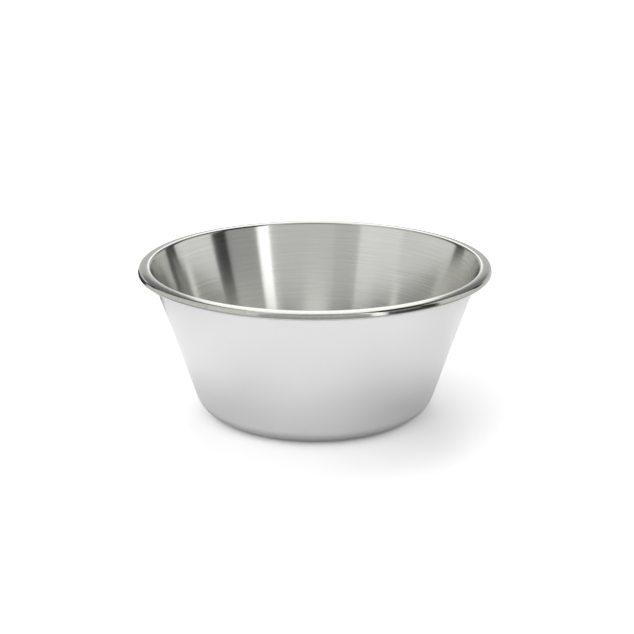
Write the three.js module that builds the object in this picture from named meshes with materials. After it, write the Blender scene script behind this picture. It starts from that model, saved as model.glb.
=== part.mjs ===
// A conical mixing bowl of stainless steel: one pressed sheet with a folded rim, and the wire inside the rim.
// Millimetres, +Z up. The origin is the centre of the underside of the base.
import * as THREE from 'three';

const { degToRad } = THREE.MathUtils;

// Driving dimensions of the bowl
const rimDiameter = 240; // over the outside of the rim
const bowlHeight = 104; // from the table to the top of the rim
const sheetThickness = 0.8;
const wallLean = degToRad( 18.2 ); // how far the wall leans out from upright
const baseCornerRadius = 19; // outside of the bend between the base and the wall

// Driving dimensions of the rim
const lipBendRadius = 1.2; // inside of the bend where the wall turns out into the rim
const crownRadius = 21; // slightly domed top of the rim
const crownRise = degToRad( 4 ); // slope of the dome where it leaves the lip
const crownFall = degToRad( 9 ); // slope of the dome at its outer end
const shoulderRadius = 2; // outside of the bend from the top of the rim into its side
const sideFall = degToRad( 76 ); // slope of the side
const sideLength = 1.4;
const foldRadius = 0.6; // inside of the fold at the foot of the side
const returnGap = 0.35; // slit left between the wall and the edge that runs back level to it

// Driving dimensions of the wire that the edge is folded round
const wireDiameter = 1.6;
const wireClearance = 0.3; // between the wire and the sheet
const wireEndGap = 1; // between the two butted ends

// Fineness of the round shapes
const segmentsAround = 72;
const bendStep = degToRad( 18 );
const wireSides = 10;

const upright = Math.PI / 2;
const wallHeading = upright - wallLean;
const halfSheet = sheetThickness / 2;

// Bends of the middle of the sheet
const cornerBend = baseCornerRadius - halfSheet;
const lipBend = lipBendRadius + halfSheet;
const crownBend = crownRadius - halfSheet;
const shoulderBend = shoulderRadius - halfSheet;
const foldBend = foldRadius + halfSheet;

// Draws the middle of the sheet in the plane of radius (x) and height (y), one stretch after the other.
// A heading of 0 points away from the bowl's axis, and the heading upright points to +Z.
class SheetLine {

	constructor( radius, height, heading ) {

		this.at = new THREE.Vector2( radius, height );
		this.heading = heading;
		this.points = [];
		this.normals = [];
		this.mark();

	}

	direction() {

		return new THREE.Vector2( Math.cos( this.heading ), Math.sin( this.heading ) );

	}

	// To the left of the heading, which is the side that holds the food
	normal() {

		return new THREE.Vector2( - Math.sin( this.heading ), Math.cos( this.heading ) );

	}

	mark() {

		this.points.push( this.at.clone() );
		this.normals.push( this.normal() );

	}

	straight( length ) {

		this.at.addScaledVector( this.direction(), length );
		this.mark();

	}

	// Follows an arc of the given radius until the line points along the new heading
	bend( radius, newHeading ) {

		const firstHeading = this.heading;
		const turn = newHeading - firstHeading;
		const reach = Math.sign( turn ) * radius;
		const centre = this.at.clone().addScaledVector( this.normal(), reach );
		const steps = Math.ceil( Math.abs( turn ) / bendStep );

		for ( let step = 1; step <= steps; step ++ ) {

			this.heading = firstHeading + turn * step / steps;
			this.at.copy( centre ).addScaledVector( this.normal(), - reach );
			this.mark();

		}

	}

	// One face of the sheet, a distance to the left of its middle
	face( distance ) {

		return this.points.map( ( point, i ) => point.clone().addScaledVector( this.normals[ i ], distance ) );

	}

}

// The lip, the domed top, the steep side and the fold, which follow the top of the wall
function drawRim( line ) {

	line.bend( lipBend, crownRise );
	line.bend( crownBend, - crownFall );
	line.bend( shoulderBend, - sideFall );
	line.straight( sideLength );
	line.bend( foldBend, - Math.PI );

}

// The rim drawn by itself tells how far it reaches out and up from the top of the wall
const rimAlone = new SheetLine( 0, 0, wallHeading );
drawRim( rimAlone );
const rimReach = new THREE.Box2().setFromPoints( rimAlone.face( halfSheet ) ).max;

// The wall fills the height between the corner and the rim, and the flat base takes the radius that is left
const cornerRise = cornerBend * ( 1 - Math.cos( wallHeading ) );
const cornerRun = cornerBend * Math.sin( wallHeading );
const wallLength = ( bowlHeight - halfSheet - cornerRise - rimReach.y ) / Math.sin( wallHeading );
const baseRadius = rimDiameter / 2 - rimReach.x - wallLength * Math.cos( wallHeading ) - cornerRun;

// The whole sheet, from the middle of the base to the end of the fold
const sheet = new SheetLine( 0, halfSheet, 0 );
sheet.straight( baseRadius );
sheet.bend( cornerBend, wallHeading );
sheet.straight( wallLength );
const wallTop = sheet.at.clone();
const wallOutward = sheet.normal().negate();
drawRim( sheet );

// The wire lies in the corner between the side and the returning edge, at the same distance from both.
// So it lies on the line that halves the corner, on which the centre of the fold lies too.
const halfTurn = ( Math.PI - sideFall ) / 2;
const wireBend = wireDiameter / 2 + wireClearance + halfSheet;
const foldCentre = sheet.at.clone().addScaledVector( sheet.normal(), - foldBend );
const halving = new THREE.Vector2( - Math.cos( sideFall / 2 ), Math.sin( sideFall / 2 ) );
const wireCentre = foldCentre.addScaledVector( halving, ( wireBend - foldBend ) / Math.cos( halfTurn ) );

// The sheet's edge runs on under the rim, until only the slit is left between its corner and the wall
const edgeToWall = sheet.at.clone().sub( wallTop ).dot( wallOutward ) - halfSheet;
const cornerToMiddle = halfSheet * Math.abs( sheet.normal().dot( wallOutward ) );
const approach = - sheet.direction().dot( wallOutward );
sheet.straight( ( edgeToWall - cornerToMiddle - returnGap ) / approach );

const brushedSteel = new THREE.MeshStandardMaterial( { color: 0xc8c9cb, roughness: 0.3, metalness: 1 } );
const drawnSteel = new THREE.MeshStandardMaterial( { color: 0xb4b6b8, roughness: 0.4, metalness: 1 } );

// The outer face of the sheet and then its inner face, turned about the bowl's axis
function makeShell() {

	const profile = [ ...sheet.face( - halfSheet ), ...sheet.face( halfSheet ).reverse() ];
	const geometry = new THREE.LatheGeometry( profile, segmentsAround );
	geometry.rotateX( upright );
	const mesh = new THREE.Mesh( geometry, brushedSteel );
	mesh.name = 'bowl_shell';
	return mesh;

}

// The centre line of the wire: a level ring, open between its two ends at the back of the bowl
class WireRing extends THREE.Curve {

	getPoint( t, target = new THREE.Vector3() ) {

		const gapAngle = wireEndGap / wireCentre.x;
		const angle = upright + gapAngle / 2 + t * ( 2 * Math.PI - gapAngle );
		return target.set( wireCentre.x * Math.cos( angle ), wireCentre.x * Math.sin( angle ), wireCentre.y );

	}

}

function makeWire() {

	const section = new THREE.Shape().absarc( 0, 0, wireDiameter / 2, 0, 2 * Math.PI );
	const geometry = new THREE.ExtrudeGeometry( section, {
		curveSegments: wireSides / 2, // a full circle takes twice as many
		steps: segmentsAround,
		extrudePath: new WireRing(),
	} );
	const mesh = new THREE.Mesh( geometry, drawnSteel );
	mesh.name = 'rim_wire';
	return mesh;

}

const bowl = new THREE.Group();
bowl.add( makeShell(), makeWire() );

export default bowl;
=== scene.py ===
from math import cos, degrees, hypot, pi, radians, sin, tan

import bpy
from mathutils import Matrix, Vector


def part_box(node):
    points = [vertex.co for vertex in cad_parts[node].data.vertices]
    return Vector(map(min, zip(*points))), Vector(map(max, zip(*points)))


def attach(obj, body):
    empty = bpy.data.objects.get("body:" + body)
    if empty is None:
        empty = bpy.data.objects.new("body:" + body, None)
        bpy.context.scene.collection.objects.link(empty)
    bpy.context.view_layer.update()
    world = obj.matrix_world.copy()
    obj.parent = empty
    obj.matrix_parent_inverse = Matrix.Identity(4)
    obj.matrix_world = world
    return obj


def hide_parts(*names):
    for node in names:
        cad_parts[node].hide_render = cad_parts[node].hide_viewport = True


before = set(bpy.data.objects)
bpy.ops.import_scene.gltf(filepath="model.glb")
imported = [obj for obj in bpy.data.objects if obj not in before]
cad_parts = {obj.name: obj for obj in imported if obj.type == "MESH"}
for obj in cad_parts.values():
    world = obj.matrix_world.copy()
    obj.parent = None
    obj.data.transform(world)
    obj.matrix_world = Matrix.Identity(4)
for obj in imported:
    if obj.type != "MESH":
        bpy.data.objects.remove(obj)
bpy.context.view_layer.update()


# Camera
# It stands about a metre in front of the bowl and looks a little down into it.
# The picture is square, and the aim puts the bowl where the photograph has it.
camera_aim = (0.00135, 0, 0.06423)
camera_distance = 1.0
camera_elevation = radians(17.5)
camera_lens = 82.3
camera_sensor = 36

bpy.ops.object.camera_add(
    location=(
        camera_aim[0],
        camera_aim[1] - camera_distance * cos(camera_elevation),
        camera_aim[2] + camera_distance * sin(camera_elevation),
    ),
    rotation=(pi / 2 - camera_elevation, 0, 0),
)
camera = bpy.context.object
camera.data.lens = camera_lens
camera.data.sensor_width = camera_sensor
bpy.context.scene.camera = camera


# The bowl's sheet
# One disc of stainless sheet, drawn up into a flat base, a rounded corner and a leaning wall.
# Its edge is turned out over a small lip into a slightly domed top and a steep side,
# and is folded back under them to the wall.
sheet = 0.0008
wall_lean = radians(18.2)
corner_radius = 0.019
lip_radius = 0.0012
crown_radius = 0.021
crown_rise = radians(4)
crown_fall = radians(9)
shoulder_radius = 0.002
side_fall = radians(76)
side_length = 0.0014
fold_radius = 0.0006
return_gap = 0.00035
fit_margin = 0.00001

# Fineness of the mesh, with a narrow ring beside each bend that keeps the flat stretches flat
holding_edge = 0.0003
segments_around = 192
corner_steps = 16
wall_steps = 8
lip_steps = 10
crown_steps = 8
shoulder_steps = 8
fold_steps = 14
smooth_angle = radians(40)

bowl_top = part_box("bowl_shell")[1]
rim_radius = bowl_top.x - fit_margin
bowl_height = bowl_top.z - fit_margin
wall_heading = pi / 2 - wall_lean


def along(start, heading, length):
    """The point at a distance from a (radius, height) point."""
    return start[0] + length * cos(heading), start[1] + length * sin(heading)


def bend(start, heading, radius, new_heading, steps):
    """Points of an arc that leaves start along heading and ends along new_heading."""
    turn = new_heading - heading
    side = heading + (pi / 2 if turn > 0 else -pi / 2)
    centre = along(start, side, radius)
    return [along(centre, side + pi + turn * step / steps, radius) for step in range(1, steps + 1)]


def rim_line(wall_top):
    """The middle of the sheet from the top of the wall to the end of the fold."""
    lip = bend(wall_top, wall_heading, lip_radius + sheet / 2, crown_rise, lip_steps)
    crown = bend(lip[-1], crown_rise, crown_radius - sheet / 2, -crown_fall, crown_steps)
    shoulder = bend(crown[-1], -crown_fall, shoulder_radius - sheet / 2, -side_fall, shoulder_steps)
    side_stops = (holding_edge, side_length - holding_edge, side_length)
    side = [along(shoulder[-1], -side_fall, stop) for stop in side_stops]
    fold = bend(side[-1], -side_fall, fold_radius + sheet / 2, -pi, fold_steps)
    return lip + crown + shoulder + side + fold


rim_alone = rim_line((0, 0))
rim_reach_out = max(point[0] for point in rim_alone) + sheet / 2
rim_reach_up = max(point[1] for point in rim_alone) + sheet / 2
corner_bend = corner_radius - sheet / 2
corner_run = corner_bend * cos(wall_lean)
corner_rise = corner_bend * (1 - sin(wall_lean))
wall_length = (bowl_height - fit_margin - sheet / 2 - corner_rise - rim_reach_up) / cos(wall_lean)
base_radius = rim_radius - rim_reach_out - wall_length * sin(wall_lean) - corner_run

base_edge = (base_radius, sheet / 2 + fit_margin)
corner = bend(base_edge, 0, corner_bend, wall_heading, corner_steps)
wall_stops = [holding_edge, *[wall_length * i / wall_steps for i in range(1, wall_steps)]]
wall_stops += [wall_length - holding_edge, wall_length]
wall = [along(corner[-1], wall_heading, stop) for stop in wall_stops]
wall_top = wall[-1]
rim = rim_line(wall_top)
fold_end = rim[-1]
to_wall = (fold_end[0] - wall_top[0]) * cos(wall_lean) + (wall_top[1] - fold_end[1]) * sin(wall_lean)
return_length = (to_wall - sheet / 2 * (1 + sin(wall_lean)) - return_gap) / cos(wall_lean)
return_edge = [along(fold_end, -pi, stop) for stop in (holding_edge, return_length)]

bpy.ops.object.select_all(action="DESELECT")
bpy.ops.mesh.primitive_circle_add(
    vertices=segments_around,
    radius=base_radius - holding_edge,
    fill_type="TRIFAN",
    location=(0, 0, base_edge[1]),
)
bowl = bpy.context.object
bowl.name = "pressed_bowl"
bowl.data.name = "pressed_bowl"
bpy.ops.object.transform_apply(location=True, rotation=True, scale=True)
bpy.ops.object.mode_set(mode="EDIT")
bpy.ops.mesh.select_mode(type="EDGE")
bpy.ops.mesh.select_all(action="DESELECT")
bpy.ops.mesh.select_non_manifold()
ring = (base_radius - holding_edge, base_edge[1])
for radius, height in [base_edge, *corner, *wall, *rim, *return_edge]:
    bpy.ops.mesh.extrude_region_move(TRANSFORM_OT_translate={"value": (0, 0, height - ring[1])})
    growth = radius / ring[0]
    bpy.ops.transform.resize(value=(growth, growth, 1), center_override=(0, 0, height))
    ring = (radius, height)
bpy.ops.mesh.select_all(action="SELECT")
bpy.ops.mesh.normals_make_consistent(inside=False)
bpy.ops.object.mode_set(mode="OBJECT")
thickness = bowl.modifiers.new("sheet", "SOLIDIFY")
thickness.thickness = sheet
thickness.offset = 0
thickness.use_even_offset = True
bpy.ops.object.modifier_apply(modifier=thickness.name)
bpy.ops.object.shade_smooth_by_angle(angle=smooth_angle)


# The brushed inside
# The side that holds the food is brushed round and round with a fine belt.
# The lines spread a reflection up and down, and leave its upright edges sharp.
inside_shade = 0.66
inside_contrast = 0.27
inside_blue = 0.955
inside_roughness = 0.17
fine_share = 0.85


class Value:
    """A socket that Python arithmetic joins up with Math nodes."""

    def __init__(self, tree, socket=None):
        self.tree = tree
        self.socket = socket

    def node(self, kind, settings, inputs, output=0):
        made = self.tree.nodes.new(kind)
        for name, setting in settings.items():
            setattr(made, name, setting)
        for name, value in inputs.items():
            if isinstance(value, Value):
                self.tree.links.new(value.socket, made.inputs[name])
            else:
                made.inputs[name].default_value = value
        return Value(self.tree, made.outputs[output])

    def math(self, operation, *terms):
        return self.node("ShaderNodeMath", {"operation": operation}, dict(enumerate(terms)))

    def feed(self, socket):
        self.tree.links.new(self.socket, socket)

    def __add__(self, other):
        return self.math("ADD", self, other)

    def __sub__(self, other):
        return self.math("SUBTRACT", self, other)

    def __rsub__(self, other):
        return self.math("SUBTRACT", other, self)

    def __mul__(self, other):
        return self.math("MULTIPLY", self, other)

    def __truediv__(self, other):
        return self.math("DIVIDE", self, other)

    __radd__ = __add__
    __rmul__ = __mul__


def new_steel(name):
    """A metal material's start for shader maths, its shader's sockets, and the material."""
    material = bpy.data.materials.new(name)
    material.use_nodes = True
    sockets = material.node_tree.nodes["Principled BSDF"].inputs
    sockets["Metallic"].default_value = 1
    return Value(material.node_tree), sockets, material


def grey(start, shade, blue=1):
    """A grey, made warmer by a share of blue below 1."""
    return start.node("ShaderNodeCombineColor", {}, {"Red": shade, "Green": shade, "Blue": shade * blue})


def place_on_bowl(start):
    """Where a point lies: round the axis, as two values, and outwards and up along the sheet."""
    place = start.node("ShaderNodeTexCoord", {}, {}, "Object")
    x, y, z = (start.node("ShaderNodeSeparateXYZ", {}, {"Vector": place}, i) for i in range(3))
    radius = start.math("SQRT", x * x + y * y) + 1e-6
    return x / radius, y / radius, radius + z


def ring_noise(start, streaks, pitch, detail):
    """Noise drawn out round the axis: streaks in a turn, and the pitch from line to line in metres."""
    round_x, round_y, outward = place_on_bowl(start)
    vector = start.node(
        "ShaderNodeCombineXYZ",
        {},
        {"X": round_x * streaks, "Y": round_y * streaks, "Z": outward * (1 / pitch)},
    )
    noise = {"Vector": vector, "Scale": 1.0, "Detail": detail, "Roughness": 0.6}
    return start.node("ShaderNodeTexNoise", {}, noise)


start, sockets, inside_steel = new_steel("brushed_inside")
fine_lines = ring_noise(start, streaks=2, pitch=0.0008, detail=2.0)
broad_lines = ring_noise(start, streaks=1.6, pitch=0.0026, detail=1.0)
lines = fine_lines * fine_share + broad_lines * (1 - fine_share) - 0.5
bump = start.node("ShaderNodeBump", {}, {"Strength": 0.1, "Distance": 0.0001, "Height": fine_lines})
sockets["Anisotropic"].default_value = 0.95
sockets["Anisotropic Rotation"].default_value = 0.25
grey(start, inside_shade + lines * inside_contrast, inside_blue).feed(sockets["Base Color"])
(inside_roughness + lines * 0.1).feed(sockets["Roughness"])
bump.feed(sockets["Normal"])


# The bright rim
# The lip, the domed top, the side and the fold are the edge of the same steel sheet.
# They are polished after folding, and keep a faint grain round the bowl.
# The rim's steel colour is set darker than the inside's: painted shade that darkens its reflections
rim_tone_with_painted_shade = 0.53
rim_blue = 0.94
rim_roughness = 0.12

start, sockets, rim_steel = new_steel("bright_rim")
grain = ring_noise(start, streaks=60, pitch=0.0008, detail=2.0) - 0.5
grey(start, rim_tone_with_painted_shade + grain * 0.16, rim_blue).feed(sockets["Base Color"])
(rim_roughness + grain * 0.06).feed(sockets["Roughness"])


# The satin outside
# The outer face of the steel sheet is left as it comes from the press.
# It is a smooth satin, with only a faint cloud in its gloss.
outside_shade = 0.66
outside_roughness = 0.26

start, sockets, outside_steel = new_steel("satin_outside")
cloud = ring_noise(start, streaks=3, pitch=0.03, detail=2.0) - 0.5
grey(start, outside_shade + cloud * 0.03).feed(sockets["Base Color"])
(outside_roughness + cloud * 0.05).feed(sockets["Roughness"])

for finish in (inside_steel, rim_steel, outside_steel):
    bowl.data.materials.append(finish)
for face in bowl.data.polygons:
    radius = hypot(face.center.x, face.center.y)
    wall_radius = wall_top[0] - (wall_top[1] - face.center.z) * tan(wall_lean)
    if face.center.z > wall_top[1] or radius > wall_radius + sheet:
        face.material_index = 1
    elif face.normal.z < 0:
        face.material_index = 2

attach(bowl, "root")
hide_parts("bowl_shell")


# The rim wire
# A ring of thin round steel wire lies inside the rim, in the corner between its side and the returning edge.
# Its two ends are butted at the back of the bowl.
wire_radius = 0.0008
wire_clearance = 0.0003
wire_end_gap = 0.001
wire_sides = 16
wire_shade = 0.6
wire_roughness = 0.38
merge_distance = 0.00001

fold_bend = fold_radius + sheet / 2
fold_centre = (fold_end[0], fold_end[1] + fold_bend)
from_fold = (wire_radius + wire_clearance + sheet / 2 - fold_bend) / sin(side_fall / 2)
wire_centre = along(fold_centre, pi - side_fall / 2, from_fold)
gap_angle = wire_end_gap / wire_centre[0]

bpy.ops.object.select_all(action="DESELECT")
bpy.ops.mesh.primitive_circle_add(
    vertices=wire_sides,
    radius=wire_radius,
    fill_type="NGON",
    location=(
        -wire_centre[0] * sin(gap_angle / 2),
        wire_centre[0] * cos(gap_angle / 2),
        wire_centre[1],
    ),
    rotation=(0, pi / 2, gap_angle / 2),
)
wire = bpy.context.object
wire.name = "rim_wire_ring"
wire.data.name = "rim_wire_ring"
bpy.ops.object.transform_apply(location=True, rotation=True, scale=True)
bpy.ops.object.mode_set(mode="EDIT")
bpy.ops.mesh.select_all(action="SELECT")
bpy.ops.mesh.spin(
    steps=segments_around,
    angle=2 * pi - gap_angle,
    center=(0, 0, 0),
    axis=(0, 0, 1),
)
bpy.ops.mesh.select_all(action="SELECT")
bpy.ops.mesh.remove_doubles(threshold=merge_distance)
bpy.ops.mesh.normals_make_consistent(inside=False)
bpy.ops.object.mode_set(mode="OBJECT")
bpy.ops.object.shade_smooth_by_angle(angle=smooth_angle)

start, sockets, wire_steel = new_steel("drawn_wire")
draw_marks = ring_noise(start, streaks=8, pitch=0.0003, detail=2.0) - 0.5
grey(start, wire_shade + draw_marks * 0.15).feed(sockets["Base Color"])
(wire_roughness + draw_marks * 0.15).feed(sockets["Roughness"])
wire.data.materials.append(wire_steel)

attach(wire, "root")
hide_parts("rim_wire")


# The floor
# A plain white table top, wide enough to fill the picture. Seen straight it is white, with the bowl's shadow.
# In the steel it is white near the bowl, with painted shade beside its foot,
# painted dimming further off and to the sides, and one painted dark spot behind on the left.
# Levels above 1 make up for the soft light on the table.
floor_size = 12
floor_drop = 0.0002
plain_level = 0.8
seen_level = 1.82
# Painted shade seen only in the steel: darker beside the bowl's foot, dimmer to the sides and further off,
# and a painted dark spot
painted_foot_shade_level = 1.06
beside_from = 0.081
beside_gain = 0.47
around_from = 0.117
around_gain = 0.4
painted_side_shade = 0.125
far_from = 0.24
far_front_level = 0.67
far_back_gain = 0.49
back_from = 0.05
spot_from = -151
spot_to = -127
painted_spot_darkness = 0.95

bpy.ops.object.select_all(action="DESELECT")
bpy.ops.mesh.primitive_plane_add(size=floor_size, location=(0, 0, -floor_drop))
floor = bpy.context.object
floor.name = "white_floor"


def rise(start, value, edge, softness):
    """0 below an edge and 1 above it."""
    settings = {"interpolation_type": "SMOOTHSTEP"}
    limits = {"Value": value, "From Min": edge - softness / 2, "From Max": edge + softness / 2}
    return start.node("ShaderNodeMapRange", settings, limits)


def between(start, value, low, high, softness):
    """1 from one edge to another and 0 outside them."""
    return rise(start, value, low, softness) * (1 - rise(start, value, high, softness))


floor_paint = bpy.data.materials.new("white_floor")
floor_paint.use_nodes = True
start = Value(floor_paint.node_tree)
by_eye = start.node("ShaderNodeLightPath", {}, {}, "Is Camera Ray")
in_steel = start.node("ShaderNodeLightPath", {}, {}, "Is Glossy Ray")
through = start.node("ShaderNodeLightPath", {}, {}, "Is Transmission Ray")
place = start.node("ShaderNodeTexCoord", {}, {}, "Object")
x, y = (start.node("ShaderNodeSeparateXYZ", {}, {"Vector": place}, i) for i in range(2))
distance = start.math("SQRT", x * x + y * y)
sideways = x / (distance + 0.001)
round_floor = start.math("ARCTAN2", x, 0 - y) * degrees(1)

# The floor as the steel mirrors it: painted shade beside the bowl's foot, lifting further out
near_level = painted_foot_shade_level + rise(start, distance, beside_from, 0.012) * beside_gain
near_level = near_level + rise(start, distance, around_from, 0.05) * around_gain
# Painted shade: the mirrored floor is dimmer to the sides
near_level = near_level * (1 - sideways * sideways * painted_side_shade)
# A painted dark spot on the mirrored floor, behind on the left, for a dark reflection
painted_dark_spot = between(start, round_floor, spot_from, spot_to, 3)
# Painted dimming of the mirrored floor further off, less of it behind the bowl
shaded_far_level = far_front_level + rise(start, y, back_from, 0.2) * far_back_gain
shaded_far_level = shaded_far_level * (1 - painted_dark_spot * painted_spot_darkness)
mirrored = near_level + rise(start, distance, far_from, 0.1) * (shaded_far_level - near_level)
level = plain_level + by_eye * (seen_level - plain_level) + (in_steel + through) * (mirrored - plain_level)

sockets = floor_paint.node_tree.nodes["Principled BSDF"].inputs
sockets["Roughness"].default_value = 0.9
sockets["Specular IOR Level"].default_value = 0
grey(start, level).feed(sockets["Base Color"])
floor.data.materials.append(floor_paint)


# The studio
# Soft panels stand round the table, with dark gaps between them, and a dark flag hangs high on the right.
# A long strip light runs overhead and away behind the bowl.
# Bearings are in degrees to the right of the camera, seen from the bowl, and heights in degrees above it.
panels = [
    # from bearing, to bearing, level in the lit heights, level above and below them, softness
    (-180, 180, 0.8, 0.48, 0.4),
    (-34, -15, 0.69, 0.53, 0.6),
    (-70, -35, 0.98, 0.95, 0.4),
    (-121, -70, 0.83, 0.9, 5),
    (-134, -121, 0.03, 0.05, 3),
    (35.5, 45, 1.85, 1.75, 0.4),
    (45, 70.5, 0.54, 0.08, 0.6),
    (70.5, 83, 0.03, 0.05, 1),
    (83, 121, 0.92, 0.92, 0.4),
    (121, 134, 0.02, 0.05, 1),
]
lit_from = 12
lit_to = 29
flag_from = 83
flag_to = 121
flag_foot = 42
flag_level = 0.05
behind_from = 134
low_level = 0.7
low_to = 17.5
dim_level = 0.24
strip_level = 1.7
strip_top_level = 1.35
strip_width = 0.31
strip_foot = 11
strip_top = 60

studio = bpy.data.worlds.new("studio")
bpy.context.scene.world = studio
studio.use_nodes = True
start = Value(studio.node_tree)
direction = start.node("ShaderNodeTexCoord", {}, {}, "Generated")
x, y, z = (start.node("ShaderNodeSeparateXYZ", {}, {"Vector": direction}, i) for i in range(3))
bearing = start.math("ARCTAN2", x, 0 - y) * degrees(1)
height = start.math("ARCSINE", z) * degrees(1)

lit = between(start, height, lit_from, lit_to, 8)
light = start.math("ADD", 0.0, 0.0)
for low, high, lit_level, other_level, softness in panels:
    panel_level = other_level + lit * (lit_level - other_level)
    light = light + (panel_level - light) * between(start, bearing, low, high, softness)

flag = rise(start, height, flag_foot, 6) * between(start, bearing, flag_from, flag_to, 1)
light = light + (flag_level - light) * flag

behind_level = low_level + rise(start, height, low_to, 3) * (dim_level - low_level)
behind = rise(start, start.math("ABSOLUTE", bearing), behind_from, 2)
light = light + (behind_level - light) * behind

up = start.math("MAXIMUM", z, 0.01)
across = 1 - rise(start, start.math("ABSOLUTE", x) / up, strip_width, 0.05)
overhead = across * rise(start, y, 0, 0.1) * rise(start, height, strip_foot, 8)
strip = strip_level + rise(start, height, strip_top, 10) * (strip_top_level - strip_level)
light = light + (strip - light) * overhead

by_eye = start.node("ShaderNodeLightPath", {}, {}, "Is Camera Ray")
light = light + (1 - light) * by_eye
light.feed(studio.node_tree.nodes["Background"].inputs["Color"])

bpy.context.scene.view_settings.view_transform = "Standard"
